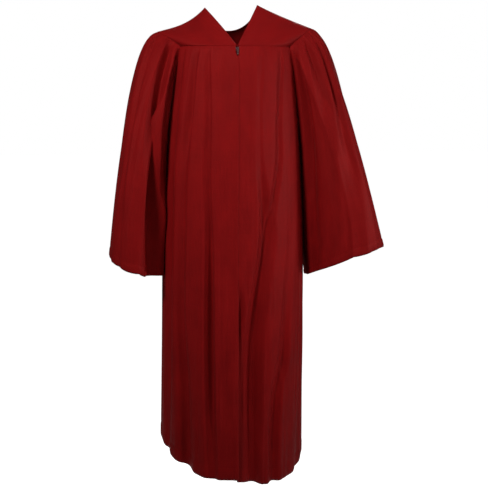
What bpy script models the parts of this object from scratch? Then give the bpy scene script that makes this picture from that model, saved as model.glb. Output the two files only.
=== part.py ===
"""A graduation gown in the shape it takes when worn: yoke, pleated fronts and back, bell sleeves and a front zip.

Metres, +Z up, the front towards -Y and the wearer's left towards +X. The origin is midway between the two neck
points and just above them, where the wearer holds the gown up. Every cloth piece is a thin wall, open below and at
the neck.
"""
import math
from collections import namedtuple

import bmesh
import bpy
from mathutils import Matrix, Vector

# ---------------------------------------------------------------- driving dimensions
CLOTH = 0.0015  # thickness of every cloth wall
SEAM = 0.0006  # gap left where two pieces are sewn together
ARMHOLE_GAP = 0.0018  # the same along the armhole, where the walls meet at a slant
BODY_CLEAR = 0.0060  # the least gap between a hanging sleeve and the body
GOWN_LENGTH = 1.376  # the origin to the lowest point of the hem
NECK_HALF = 0.074  # half the neck opening, at the neck points
NECK_LOW = 0.008  # how far the neck points lie below the origin
NECK_TILT = 0.004  # the wearer's left neck point stands this much higher, the right one lower
BACK_NECK_DROP = 0.070  # how far the back neckline dips
SHOULDER_OUT = {-1: 0.208, 1: 0.229}  # centre to the shoulder ends, wearer's right and left
SHOULDER_DROP = {-1: 0.079, 1: 0.067}  # how far the shoulder ends lie below the origin
SHOULDER_SAG = {-1: 0.027, 1: 0.005}  # how far the shoulder seam hangs below straight, near the neck
FRONT_SEAM = -0.120  # height of the front yoke seam
BACK_SEAM = -0.172  # height of the back yoke seam
CORNER_ANGLE = 69.0  # where the yoke seam meets the armhole, degrees round from the centre
UNDERARM = -0.405  # height of the lowest point of the armhole
FRONT_GAP = 0.0014  # half the gap between the two front edges, over the zip
NOTCH_GAP = 0.0052  # half the gap where the edges part round the zip slider
NOTCH_DEPTH = 0.022  # how far down the edges stay parted
FRONT_CORNER_SHARE = 0.27  # the sleeve's share round that meets the front yoke corner
BACK_CORNER_SHARE = 0.73

# The zip, all measured from the top of the front edges
ZIP_END = -0.780  # height of the bottom stop
TAPE_WIDTH = 0.013
TAPE_THICKNESS = 0.0010
CHAIN_HALF = 0.0022  # half the width of the closed chain
CHAIN_THICKNESS = 0.0014
ZIP_LAP = 0.0030  # the deepest that a front edge is drawn in, above the end of the zip
ZIP_CLEAR = 0.0004  # gap between the zip's own pieces, and behind the cloth
SLIDER_SIZE = (0.0080, 0.0036, 0.0095)  # across, front to back, along
SLIDER_TOP = -0.1240
LUG_SIZE = (0.0009, 0.0050, 0.0030)
PIN_RADIUS = 0.0006
PULL_EYE_RADIUS = 0.0018
PULL_HOLE_RADIUS = 0.0010
PULL_SIZE = (0.0046, 0.0011, 0.0160)  # across, thick, long from the hinge
PULL_LIFT = 0.0003  # the flat tab lies this much behind the middle of its eye
STOP_SIZE = (0.0044, 0.0022, 0.0040)

# Fineness of the sheets
PANEL_SPACING = 4.3  # degrees between the columns of a body panel
PANEL_ROWS = 12
ROW_CROWDING = 1.3  # above 1 sets the rows closer together at the top
YOKE_ROWS = 6
YOKE_COLUMNS = 8
BACK_YOKE_COLUMNS = 22
SLEEVE_COLUMNS = 36
SLEEVE_ROWS = 11
TAPE_ROWS = 12

# ---------------------------------------------------------------- tables
# Level sections of the body. Squareness 2 is an ellipse, more is squarer.
# The shift is sideways, of the whole section, and the meeting line is where the two fronts meet.
Section = namedtuple("Section", "height half_width front back shift meeting squareness")
BODY = [
    Section(-0.06, 0.158, 0.075, 0.078, 0.006, 0.005, 2.30),
    Section(-0.12, 0.167, 0.116, 0.100, 0.006, 0.005, 2.30),
    Section(-0.25, 0.181, 0.144, 0.124, 0.005, 0.004, 2.25),
    Section(-0.40, 0.194, 0.158, 0.135, 0.004, 0.002, 2.25),
    Section(-0.65, 0.206, 0.166, 0.146, 0.005, 0.000, 2.20),
    Section(-0.95, 0.212, 0.172, 0.162, 0.004, 0.000, 2.20),
    Section(-1.38, 0.219, 0.180, 0.186, 0.000, 0.000, 2.00),
]

# A trough runs down a panel. Angles are degrees round from the centre front, the wearer's left positive, and the
# reach is half the trough's width in degrees.
Fold = namedtuple("Fold", "name top mid hem depth_top depth_mid depth_hem reach_top reach_hem")
FRONT_RIGHT_FOLDS = [
    Fold("panel_edge", -34, -25, -22, 0.005, 0.014, 0.010, 7, 9),
    Fold("second", -46, -53, -48, 0.006, 0.008, 0.012, 7, 12),
    Fold("armhole", -68, -69, -71, 0.005, 0.010, 0.012, 7, 10),
]
FRONT_LEFT_FOLDS = [
    Fold("under_lap", 7, 6, 5, 0.000, 0.001, 0.007, 5, 7),
    Fold("panel_edge", 30, 22, 14, 0.003, 0.008, 0.008, 6, 8),
    Fold("second", 50, 34, 29, 0.005, 0.007, 0.004, 7, 8),
    Fold("armhole", 66, 52, 44, 0.005, 0.009, 0.012, 7, 9),
    Fold("side", 78, 77, 74, 0.002, 0.009, 0.012, 7, 10),
]
BACK_FOLDS = [
    Fold("side_left", 102, 102, 102, 0.003, 0.012, 0.020, 7, 9),
    Fold("second_left", 121, 124, 126, 0.007, 0.014, 0.024, 7, 10),
    Fold("third_left", 139, 143, 147, 0.007, 0.015, 0.024, 7, 10),
    Fold("centre_left", 157, 160, 167, 0.008, 0.016, 0.026, 7, 10),
    Fold("centre", 178, 181, 187, 0.007, 0.014, 0.022, 7, 9),
    Fold("centre_right", 199, 201, 206, 0.008, 0.016, 0.026, 7, 9),
    Fold("third_right", 218, 221, 225, 0.007, 0.014, 0.024, 7, 9),
    Fold("second_right", 236, 239, 243, 0.007, 0.014, 0.022, 7, 9),
    Fold("side_right", 256, 258, 260, 0.003, 0.012, 0.018, 7, 9),
]

# Hem heights above the lowest point, round the body; 270 is the wearer's right side again.
HemPoint = namedtuple("HemPoint", "angle rise")
HEM = {
    "front_right": [
        HemPoint(-90, 0.104),
        HemPoint(-60, 0.064),
        HemPoint(-32, 0.030),
        HemPoint(0, 0.024),
    ],
    "front_left": [
        HemPoint(0, 0.013),
        HemPoint(14, 0.006),
        HemPoint(32, 0.000),
        HemPoint(48, 0.003),
        HemPoint(68, 0.014),
        HemPoint(90, 0.050),
    ],
    "back": [
        HemPoint(90, 0.050),
        HemPoint(135, 0.028),
        HemPoint(180, 0.020),
        HemPoint(225, 0.046),
        HemPoint(270, 0.104),
    ],
}

# Sleeves. A share round of 0 is the outer (over-arm) line, 0.25 the front, 0.5 the underarm, 0.75 the back. The cuff
# is an oval whose corners fill out as square falls below 1, and inner is the same for its inner front corner. The
# lean is how far the inner side swings to the body.
Sleeve = namedtuple(
    "Sleeve",
    "name side cuff_x cuff_y cuff_z half_width half_front half_back rise tip flare puff square inner lean folds",
)
SleeveFold = namedtuple(
    "SleeveFold", "name top cuff depth_top depth_mid depth_cuff reach_top reach_cuff"
)
RIGHT_SLEEVE_FOLDS = [
    SleeveFold("outer_front", 0.095, 0.080, 0.010, 0.006, 0.005, 0.050, 0.060),
    SleeveFold("front", 0.200, 0.215, 0.014, 0.012, 0.006, 0.045, 0.060),
    SleeveFold("inner_front", 0.300, 0.360, 0.012, 0.014, 0.010, 0.045, 0.060),
    SleeveFold("inner_back", 0.640, 0.640, 0.010, 0.014, 0.018, 0.050, 0.070),
    SleeveFold("back", 0.800, 0.780, 0.012, 0.010, 0.012, 0.050, 0.060),
    SleeveFold("outer_back", 0.910, 0.900, 0.010, 0.008, 0.008, 0.045, 0.060),
]
LEFT_SLEEVE_FOLDS = [
    SleeveFold("outer_front", 0.080, 0.100, 0.008, 0.004, 0.003, 0.050, 0.070),
    SleeveFold("front", 0.185, 0.200, 0.014, 0.009, 0.004, 0.045, 0.060),
    SleeveFold("inner_front", 0.290, 0.340, 0.012, 0.010, 0.006, 0.045, 0.060),
    SleeveFold("inner_back", 0.640, 0.650, 0.010, 0.014, 0.018, 0.050, 0.070),
    SleeveFold("back", 0.800, 0.790, 0.012, 0.010, 0.012, 0.050, 0.060),
    SleeveFold("outer_back", 0.910, 0.900, 0.010, 0.008, 0.008, 0.045, 0.060),
]
SLEEVES = [
    Sleeve(
        "sleeve_right", -1, -0.270, -0.012, -0.737, 0.087, 0.138, 0.120, 0.033, 0.002, 0.12, 0.94, 0.62, 1.35, 0.016,
        RIGHT_SLEEVE_FOLDS,
    ),
    Sleeve(
        "sleeve_left", 1, 0.333, -0.020, -0.738, 0.110, 0.130, 0.115, 0.043, -0.034, 0.36, 0.94, 0.66, 1.15, 0.016,
        LEFT_SLEEVE_FOLDS,
    ),
]

# How the sleeve leaves the armhole: out to the side, forward and down, in metres of pull.
Leave = namedtuple("Leave", "share out forward down")
LEAVES = [
    Leave(0.00, 0.28, 0.00, 0.02),
    Leave(0.14, 0.24, 0.12, 0.10),
    Leave(0.27, 0.15, 0.15, 0.18),
    Leave(0.40, 0.09, 0.08, 0.22),
    Leave(0.50, 0.07, 0.00, 0.24),
    Leave(0.60, 0.11, -0.08, 0.22),
    Leave(0.73, 0.16, -0.14, 0.18),
    Leave(0.86, 0.24, -0.10, 0.10),
    Leave(1.00, 0.28, 0.00, 0.02),
]


# ---------------------------------------------------------------- small mathematics
def between(low, high, share):
    return low + (high - low) * share


def shares(count):
    return [i / count for i in range(count + 1)]


def through(first, middle, last, share):
    """A smooth value that is first at 0, middle at one half and last at 1."""
    pull = 2 * middle - 0.5 * (first + last)
    rest = 1 - share
    return rest * rest * first + 2 * rest * share * pull + share * share * last


def bell(distance):
    """1 at the centre of a fold and 0 at its edges, a distance of 1 away."""
    return 0.5 * (1 + math.cos(math.pi * distance)) if abs(distance) < 1 else 0.0


def interpolate(rows, key, column, at):
    """The column's value at a place between the table's rows, on a smooth curve through them."""
    keys = [getattr(row, key) for row in rows]
    values = [getattr(row, column) for row in rows]
    if keys[0] > keys[-1]:
        keys, values = keys[::-1], values[::-1]
    at = min(max(at, keys[0]), keys[-1])
    i = max(k for k in range(len(keys) - 1) if keys[k] <= at)
    step = keys[i + 1] - keys[i]

    def slope(k):
        low, high = max(k - 1, 0), min(k + 1, len(keys) - 1)
        return (values[high] - values[low]) / (keys[high] - keys[low])

    return hermite(values[i], step * slope(i), values[i + 1], step * slope(i + 1), (at - keys[i]) / step)


def hermite(start, leave, end, arrive, t):
    return (
        (2 * t**3 - 3 * t**2 + 1) * start
        + (t**3 - 2 * t**2 + t) * leave
        + (-2 * t**3 + 3 * t**2) * end
        + (t**3 - t**2) * arrive
    )


def bezier(points, share):
    """A point on the Bezier curve with these control points."""
    points = [Vector(p) for p in points]
    while len(points) > 1:
        points = [a.lerp(b, share) for a, b in zip(points, points[1:])]
    return points[0]


# ---------------------------------------------------------------- the body of the gown
def body_ring(angle, height):
    """(point, outward normal) on the unfolded body, at an angle round from the centre front."""
    section = {c: interpolate(BODY, "height", c, height) for c in Section._fields[1:]}
    turn = math.radians(angle)
    across, along = math.sin(turn), -math.cos(turn)
    depth = section["front"] if along < 0 else section["back"]
    half, power = section["half_width"], section["squareness"]
    reach = ((abs(across) / half) ** power + (abs(along) / depth) ** power) ** (-1 / power)
    x, y = across * reach, along * reach
    normal = Vector(
        (
            math.copysign(abs(x) ** (power - 1) / half**power, x),
            math.copysign(abs(y) ** (power - 1) / depth**power, y),
            0,
        )
    )
    to_meeting = (section["meeting"] - section["shift"]) * max(-along, 0) ** 4
    return Vector((x + section["shift"] + to_meeting, y, height)), normal.normalized()


def from_centre(angle):
    """Degrees from the centre front or the centre back, whichever is nearer: 0 to 90."""
    angle = abs(angle) % 360
    angle = 360 - angle if angle > 180 else angle
    return angle if angle <= 90 else 180 - angle


def is_back(angle):
    return 90 < abs(angle) % 360 < 270


def folds_at(angle):
    if is_back(angle):
        return BACK_FOLDS
    return FRONT_RIGHT_FOLDS if angle < 0 or angle >= 270 else FRONT_LEFT_FOLDS


def top_height(angle):
    """Where a body panel starts: along the yoke seam, then down the armhole to the underarm."""
    off = from_centre(angle)
    seam = BACK_SEAM if is_back(angle) else FRONT_SEAM
    if off <= CORNER_ANGLE:
        return seam
    down = (off - CORNER_ANGLE) / (90 - CORNER_ANGLE)
    return between(seam, UNDERARM, math.sin(down * math.pi / 2))


def trough(folds, angle, height):
    """How far the folds draw the cloth in at this place."""
    share = min(max((FRONT_SEAM - height) / (FRONT_SEAM + GOWN_LENGTH), 0), 1)
    total = 0.0
    for fold in folds:
        centre = through(fold.top, fold.mid, fold.hem, share)
        depth = max(through(fold.depth_top, fold.depth_mid, fold.depth_hem, share), 0)
        reach = between(fold.reach_top, fold.reach_hem, share)
        away = (angle - centre + 180) % 360 - 180
        total += depth * bell(away / reach)
    return total


def body_point(angle, height, folds=None):
    point, normal = body_ring(angle, height)
    return point - normal * trough(folds or folds_at(angle), angle, height)


# ---------------------------------------------------------------- seam lines
def neck_point(side):
    return Vector((side * NECK_HALF, 0, side * NECK_TILT - NECK_LOW))


def shoulder_end(side):
    return Vector((side * SHOULDER_OUT[side], 0, -SHOULDER_DROP[side]))


def front_corner(side):
    return body_ring(side * CORNER_ANGLE, FRONT_SEAM)[0]


def back_corner(side):
    return body_ring(180 - side * CORNER_ANGLE, BACK_SEAM)[0]


def shoulder_line(side, share):
    """Neck point to shoulder end, hanging a little below straight."""
    neck, end, sag = neck_point(side), shoulder_end(side), SHOULDER_SAG[side]
    dip = neck.lerp(end, 0.36) - Vector((0, 0, sag))
    low = neck.lerp(end, 0.70) - Vector((0, 0, sag * 0.3))
    return bezier([neck, dip, low, end], share)


def v_line(side, share):
    """Neck point down to the point of the V."""
    point = body_ring(0, FRONT_SEAM)[0]
    bottom = point + Vector((side * FRONT_GAP, 0, 0))
    middle = neck_point(side).lerp(bottom, 0.5) + Vector((0, -0.020, 0.002))
    return bezier([neck_point(side), middle, bottom], share)


def armhole(side, share):
    """The armhole at the sleeve's share round: from the shoulder down the front, under the arm, up the back."""
    if share <= FRONT_CORNER_SHARE:
        start, end = shoulder_end(side), front_corner(side)
        bow = start.lerp(end, 0.5) + Vector((side * 0.010, -0.012, 0.010))
        return bezier([start, bow, end], share / FRONT_CORNER_SHARE)
    if share >= BACK_CORNER_SHARE:
        start, end = back_corner(side), shoulder_end(side)
        bow = start.lerp(end, 0.5) + Vector((side * 0.012, 0.014, 0.014))
        return bezier([start, bow, end], (share - BACK_CORNER_SHARE) / (1 - BACK_CORNER_SHARE))
    if share <= 0.5:
        down = (share - FRONT_CORNER_SHARE) / (0.5 - FRONT_CORNER_SHARE)
        angle = side * between(CORNER_ANGLE, 90, down)
    else:
        down = (BACK_CORNER_SHARE - share) / (BACK_CORNER_SHARE - 0.5)
        angle = 180 - side * between(CORNER_ANGLE, 90, down)
    return body_point(angle, top_height(angle))


# ---------------------------------------------------------------- sleeves
def cuff(sleeve, share):
    turn = 2 * math.pi * share
    out, front = math.cos(turn), math.sin(turn)
    half_depth = sleeve.half_front if front > 0 else sleeve.half_back
    power = sleeve.inner if out < 0 < front else sleeve.square
    return Vector(
        (
            sleeve.cuff_x + sleeve.side * sleeve.half_width * math.copysign(abs(out) ** power, out),
            sleeve.cuff_y - half_depth * math.copysign(abs(front) ** power, front),
            sleeve.cuff_z + sleeve.rise * out - sleeve.tip * front,
        )
    )


def sleeve_line(sleeve, share, down):
    """The unfolded sleeve: down is 0 at the armhole and 1 at the cuff."""
    share = share % 1.0
    start, end = armhole(sleeve.side, share), cuff(sleeve, share)
    pull = Vector(
        (
            sleeve.side * interpolate(LEAVES, "share", "out", share) * sleeve.puff,
            -interpolate(LEAVES, "share", "forward", share),
            -interpolate(LEAVES, "share", "down", share),
        )
    )
    outward = max(math.cos(2 * math.pi * share), 0) ** 2
    inward = max(-math.cos(2 * math.pi * share), 0)
    fall = Vector((sleeve.side * sleeve.flare * outward, 0, -1)) * (end - start).length
    start = start + pull.normalized() * ARMHOLE_GAP
    swing = Vector((-sleeve.side * sleeve.lean * inward * 4 * down * (1 - down), 0, 0))
    return hermite(start, pull, end, fall, down) + swing


def rest_on_body(point, clear):
    """Moves a point that lies inside the body, or nearer than clear, straight out to that distance."""
    section = {c: interpolate(BODY, "height", c, point.z) for c in Section._fields[1:]}
    x, y = point.x - section["shift"], point.y
    depth = section["front"] if y < 0 else section["back"]
    half, power = section["half_width"], section["squareness"]
    level = ((abs(x) / half) ** power + (abs(y) / depth) ** power) ** (1 / power)
    push = max((1 + clear / half) / level, 1)
    return Vector((x * push + section["shift"], y * push, point.z))


def sleeve_point(sleeve, share, down):
    here = sleeve_line(sleeve, share, down)
    step = 0.004
    round_it = sleeve_line(sleeve, share + step, down) - sleeve_line(sleeve, share - step, down)
    low, high = max(down - step, 0), min(down + step, 1)
    along = sleeve_line(sleeve, share, high) - sleeve_line(sleeve, share, low)
    normal = round_it.cross(along).normalized() * sleeve.side
    depth = 0.0
    for fold in sleeve.folds:
        centre = between(fold.top, fold.cuff, down)
        size = max(through(fold.depth_top, fold.depth_mid, fold.depth_cuff, down), 0)
        reach = between(fold.reach_top, fold.reach_cuff, down)
        away = (share - centre + 0.5) % 1.0 - 0.5
        depth += size * min(down / 0.12, 1) * bell(away / reach)
    return rest_on_body(here - normal * depth, BODY_CLEAR) if down > 0.05 else here - normal * depth


# ---------------------------------------------------------------- building meshes
def new_material(name, colour, roughness, metallic=0.0):
    material = bpy.data.materials.new(name)
    material.use_nodes = True
    shader = material.node_tree.nodes["Principled BSDF"]
    shader.inputs["Base Color"].default_value = (*colour, 1)
    shader.inputs["Roughness"].default_value = roughness
    shader.inputs["Metallic"].default_value = metallic
    return material


def new_object(name, mesh, material, collection):
    obj = bpy.data.objects.new(name, mesh)
    collection.objects.link(obj)
    mesh.materials.append(material)
    return obj


def grid_normals(rows, closed):
    """Outward directions at the grid's points, from the neighbours along and across."""
    count, width = len(rows), len(rows[0])
    normals = []
    for r in range(count):
        up, down = rows[max(r - 1, 0)], rows[min(r + 1, count - 1)]
        line = []
        for i in range(width):
            left = (i - 1) % width if closed else max(i - 1, 0)
            right = (i + 1) % width if closed else min(i + 1, width - 1)
            line.append((down[i] - up[i]).cross(rows[r][right] - rows[r][left]).normalized())
        normals.append(line)
    return normals


def keep_in_plane(normals, axis):
    """The seam's edge stays in its own plane, so two pieces that meet there stay the same distance apart."""
    for normal in normals:
        normal[axis] = 0
        normal.normalize()


def cloth_piece(name, rows, material, collection, closed=False, planes=(), thickness=CLOTH):
    """A closed cloth wall whose outer face passes through the rows. Each of the planes is an edge (first, last,
    top or bottom) and the axis that the wall's edge is square to."""
    normals = grid_normals(rows, closed)
    edges = {
        "first": [line[0] for line in normals],
        "last": [line[-1] for line in normals],
        "top": normals[0],
        "bottom": normals[-1],
    }
    for edge, axis in planes:
        keep_in_plane(edges[edge], axis)
    bm = bmesh.new()
    outer = [[bm.verts.new(p) for p in row] for row in rows]
    inner = [
        [bm.verts.new(p - n * thickness) for p, n in zip(row, line)] for row, line in zip(rows, normals)
    ]
    width, count = len(rows[0]), len(rows)
    for r in range(count - 1):
        for i in range(width if closed else width - 1):
            j = (i + 1) % width
            bm.faces.new((outer[r][i], outer[r + 1][i], outer[r + 1][j], outer[r][j]))
            bm.faces.new((inner[r][j], inner[r + 1][j], inner[r + 1][i], inner[r][i]))
        if not closed:
            bm.faces.new((outer[r][0], inner[r][0], inner[r + 1][0], outer[r + 1][0]))
            bm.faces.new((outer[r + 1][-1], inner[r + 1][-1], inner[r][-1], outer[r][-1]))
    for i in range(width if closed else width - 1):
        j = (i + 1) % width
        bm.faces.new((outer[0][j], inner[0][j], inner[0][i], outer[0][i]))
        bm.faces.new((outer[-1][i], inner[-1][i], inner[-1][j], outer[-1][j]))
    mesh = bpy.data.meshes.new(name)
    bm.to_mesh(mesh)
    bm.free()
    obj = new_object(name, mesh, material, collection)
    mesh.shade_smooth()
    mesh.set_sharp_from_angle(angle=math.radians(60))
    return obj


# ---------------------------------------------------------------- the cloth pieces
def edge_gap(height):
    """Half the opening between the front edges: wider round the zip slider at the top."""
    down = (FRONT_SEAM - height) / NOTCH_DEPTH
    return between(FRONT_GAP, NOTCH_GAP, 0.5 + 0.5 * math.cos(math.pi * min(max(down - 0.6, 0) / 0.4, 1)))


def front_edge(side, height, folds):
    """A point on the meeting edge of a front, which hangs straight down the middle."""
    middle = body_point(0, height, folds)
    return middle + Vector((side * edge_gap(height), 0, 0))


def panel_point(name, angle, share, folds):
    top = top_height(angle) - SEAM
    height = between(top, interpolate(HEM[name], "angle", "rise", angle) - GOWN_LENGTH, share)
    return body_point(angle, height, folds)


def body_panel_rows(name, start, end, folds):
    count = round(abs(end - start) / PANEL_SPACING)
    angles = [between(start, end, s) for s in shares(count)]
    rows = []
    for share in [s**ROW_CROWDING for s in shares(PANEL_ROWS)]:
        row = [panel_point(name, angle, share, folds) for angle in angles]
        for i, angle in ((0, start), (-1, end)):
            if angle == 0:
                side = 1 if i == 0 else -1
                row[i] = front_edge(side, row[i].z, folds)
            else:
                row[i].y += (1 if is_back(end - 1) else -1) * SEAM / 2
        rows.append(row)
    return rows


def build_body(cloth, gown):
    across, forward, upward = 0, 1, 2
    front_right = body_panel_rows("front_right", -90, 0, FRONT_RIGHT_FOLDS)
    planes = (("top", upward), ("first", forward), ("last", across))
    cloth_piece("front_right", front_right, cloth, gown, planes=planes)
    front_left = body_panel_rows("front_left", 0, 90, FRONT_LEFT_FOLDS)
    planes = (("top", upward), ("first", across), ("last", forward))
    cloth_piece("front_left", front_left, cloth, gown, planes=planes)
    back = body_panel_rows("back", 90, 270, BACK_FOLDS)
    planes = (("top", upward), ("first", forward), ("last", forward))
    cloth_piece("back", back, cloth, gown, planes=planes)


def patch(top, bottom, first, last, columns, count):
    """Rows of points spanned evenly between four edge curves, each a function of a share."""
    rows = []
    for down in shares(count):
        row = []
        for across in shares(columns):
            level = top(0).lerp(top(1), across).lerp(bottom(0).lerp(bottom(1), across), down)
            point = top(across).lerp(bottom(across), down) + first(down).lerp(last(down), across)
            row.append(point - level)
        rows.append(row)
    return rows


def build_front_yoke(name, side, material, collection):
    """Shoulder, V, armhole and yoke seam, with the cloth spanned evenly between them."""

    def seam(out):
        point = body_ring(side * CORNER_ANGLE * out, FRONT_SEAM)[0]
        near = v_line(side, 1)
        return Vector((between(near.x, point.x, out) if out < 0.15 else point.x, point.y, point.z))

    edges = (
        lambda out: shoulder_line(side, out),
        seam,
        lambda down: v_line(side, down),
        lambda down: armhole(side, FRONT_CORNER_SHARE * down),
    )
    rows = patch(*edges, YOKE_COLUMNS, YOKE_ROWS)
    rows = [[p + Vector((0, -SEAM / 2, 0)) for p in row] for row in rows]
    if side < 0:
        rows = [row[::-1] for row in rows]
    cloth_piece(name, rows, material, collection, planes=(("top", 1), ("bottom", 2)))


def back_top_line(share):
    """The back yoke's upper edge, from the wearer's left shoulder end, round the neck, to the right one."""
    neck_share = 0.32
    if share < neck_share:
        return shoulder_line(1, 1 - share / neck_share)
    if share > 1 - neck_share:
        return shoulder_line(-1, (share - 1 + neck_share) / neck_share)
    across = (share - neck_share) / (1 - 2 * neck_share)
    reach, low = NECK_HALF * 0.8, -BACK_NECK_DROP * 1.33
    points = [neck_point(1), Vector((reach, 0.070, low)), Vector((-reach, 0.070, low)), neck_point(-1)]
    return bezier(points, across)


def build_back_yoke(name, material, collection):
    edges = (
        back_top_line,
        lambda across: body_ring(180 + between(-CORNER_ANGLE, CORNER_ANGLE, across), BACK_SEAM)[0],
        lambda down: armhole(1, 1 - (1 - BACK_CORNER_SHARE) * down),
        lambda down: armhole(-1, 1 - (1 - BACK_CORNER_SHARE) * down),
    )
    rows = patch(*edges, BACK_YOKE_COLUMNS, YOKE_ROWS)
    rows = [[p + Vector((0, SEAM / 2, 0)) for p in row] for row in rows]
    cloth_piece(name, rows, material, collection, planes=(("top", 1), ("bottom", 2)))


def build_sleeve(sleeve, material, collection):
    rounds = shares(SLEEVE_COLUMNS)[:-1]
    if sleeve.side > 0:
        rounds = rounds[::-1]
    rows = [[sleeve_point(sleeve, s, down) for s in rounds] for down in shares(SLEEVE_ROWS)]
    cloth_piece(sleeve.name, rows, material, collection, closed=True)


# ---------------------------------------------------------------- the zip
def zip_line(height):
    """The zip's front face: a smooth line behind both front edges."""
    return body_ring(0, height)[0] + Vector((0, CLOTH + ZIP_LAP + ZIP_CLEAR, 0))


def build_tape(name, side, material, collection):
    """A woven tape behind a front edge."""
    rows = []
    inner = CHAIN_HALF + ZIP_CLEAR
    for share in shares(TAPE_ROWS):
        height = between(SLIDER_TOP, ZIP_END, share)
        ends = [zip_line(height) + Vector((side * x, 0, 0)) for x in (inner, inner + TAPE_WIDTH)]
        rows.append(ends if side > 0 else ends[::-1])
    cloth_piece(name, rows, material, collection, thickness=TAPE_THICKNESS)


def build_chain(name, material, collection):
    """The closed chain, one strip from below the slider to the bottom stop."""
    rows = []
    top = SLIDER_TOP - SLIDER_SIZE[2] - ZIP_CLEAR
    for share in shares(TAPE_ROWS):
        height = between(top, ZIP_END + STOP_SIZE[2] + ZIP_CLEAR, share)
        rows.append([zip_line(height) + Vector((x, 0, 0)) for x in (-CHAIN_HALF, CHAIN_HALF)])
    cloth_piece(name, rows, material, collection, thickness=CHAIN_THICKNESS)


def box_mesh(name, size, centre, turn=None):
    bm = bmesh.new()
    bmesh.ops.create_cube(bm, size=1.0)
    bmesh.ops.scale(bm, vec=size, verts=bm.verts)
    bmesh.ops.translate(bm, vec=centre, verts=bm.verts)
    if turn:
        bmesh.ops.rotate(bm, cent=(0, 0, 0), matrix=turn, verts=bm.verts)
    mesh = bpy.data.meshes.new(name)
    bm.to_mesh(mesh)
    bm.free()
    return mesh


def add_bevel(obj, width, segments=2):
    bevel = obj.modifiers.new("rounded_edges", "BEVEL")
    bevel.width = width
    bevel.segments = segments
    bevel.limit_method = "ANGLE"
    obj.data.shade_smooth()
    obj.data.set_sharp_from_angle(angle=math.radians(40))


def add_boolean(obj, other, operation):
    cut = obj.modifiers.new(other.name, "BOOLEAN")
    cut.operation = operation
    cut.solver = "EXACT"
    cut.object = other


def helper(name, mesh, material, collection, location=(0, 0, 0)):
    """A shape that only cuts or joins others."""
    obj = new_object(name, mesh, material, collection)
    obj.location = location
    obj.hide_render = True
    obj.display_type = "WIRE"
    return obj


def cylinder_mesh(name, radius, length):
    """A round bar along X."""
    bm = bmesh.new()
    bmesh.ops.create_cone(bm, cap_ends=True, segments=20, radius1=radius, radius2=radius, depth=length)
    bmesh.ops.rotate(bm, cent=(0, 0, 0), matrix=Matrix.Rotation(math.pi / 2, 3, "Y"), verts=bm.verts)
    mesh = bpy.data.meshes.new(name)
    bm.to_mesh(mesh)
    bm.free()
    return mesh


def slider_frame():
    """Where the slider sits on the cloth, and the turn that lays it along the slope of the chest."""
    low, high = SLIDER_TOP - SLIDER_SIZE[2], SLIDER_TOP
    lower, upper = body_ring(0, low)[0], body_ring(0, high)[0]
    return (lower + upper) / 2, Matrix.Rotation(math.atan2(lower.y - upper.y, high - low), 3, "X")


HINGE = Vector((0, -PULL_EYE_RADIUS - 2 * ZIP_CLEAR, 0))  # the pull tab's hinge, from the middle of the slider


def hinge_point():
    middle, turn = slider_frame()
    return middle + turn @ HINGE


def build_slider(name, material, collection, helpers):
    """A block over the chain, with two lugs and a pin that carry the pull tab."""
    middle, turn = slider_frame()
    across, deep, tall = SLIDER_SIZE
    front = -ZIP_CLEAR
    body = new_object(name, box_mesh(name, SLIDER_SIZE, (0, front + deep / 2, 0), turn), material, collection)
    body.location = middle
    for side, label in ((-1, "right"), (1, "left")):
        x = side * (PULL_SIZE[0] / 2 + ZIP_CLEAR + LUG_SIZE[0] / 2)
        place = (x, HINGE.y + LUG_SIZE[1] / 2 - LUG_SIZE[2] / 2, 0)
        lug = helper("lug_" + label, box_mesh("lug", LUG_SIZE, place, turn), material, helpers, middle)
        add_boolean(body, lug, "UNION")
    pin_length = PULL_SIZE[0] + 2 * ZIP_CLEAR + LUG_SIZE[0]
    pin = helper("pin", cylinder_mesh("pin", PIN_RADIUS, pin_length), material, helpers, hinge_point())
    add_boolean(body, pin, "UNION")


def build_pull(name, material, collection, helpers):
    """A flat tab that hangs from the pin and lies against the fronts."""
    turn = slider_frame()[1]
    place = (0, PULL_LIFT, -PULL_SIZE[2] / 2)
    tab = new_object(name, box_mesh(name, PULL_SIZE, place, turn), material, collection)
    tab.location = hinge_point()
    eye_length = PULL_SIZE[0] - ZIP_CLEAR
    eye = helper("eye", cylinder_mesh("eye", PULL_EYE_RADIUS, eye_length), material, helpers, hinge_point())
    add_boolean(tab, eye, "UNION")
    bore = cylinder_mesh("hole", PULL_HOLE_RADIUS, PULL_SIZE[0] * 2)
    hole = helper("hole", bore, material, helpers, hinge_point())
    add_boolean(tab, hole, "DIFFERENCE")


def build_stop(name, material, collection):
    across, deep, tall = STOP_SIZE
    stop = new_object(name, box_mesh(name, STOP_SIZE, (0, deep / 2, tall / 2)), material, collection)
    stop.location = zip_line(ZIP_END)
    add_bevel(stop, 0.0004)


def build_zip(cloth, metal, gown, helpers):
    build_tape("zip_tape_right", -1, cloth, gown)
    build_tape("zip_tape_left", 1, cloth, gown)
    build_chain("zip_coil", cloth, gown)
    build_stop("zip_stop", metal, gown)
    build_slider("zip_slider", metal, gown, helpers)
    build_pull("zip_pull", metal, gown, helpers)


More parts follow.
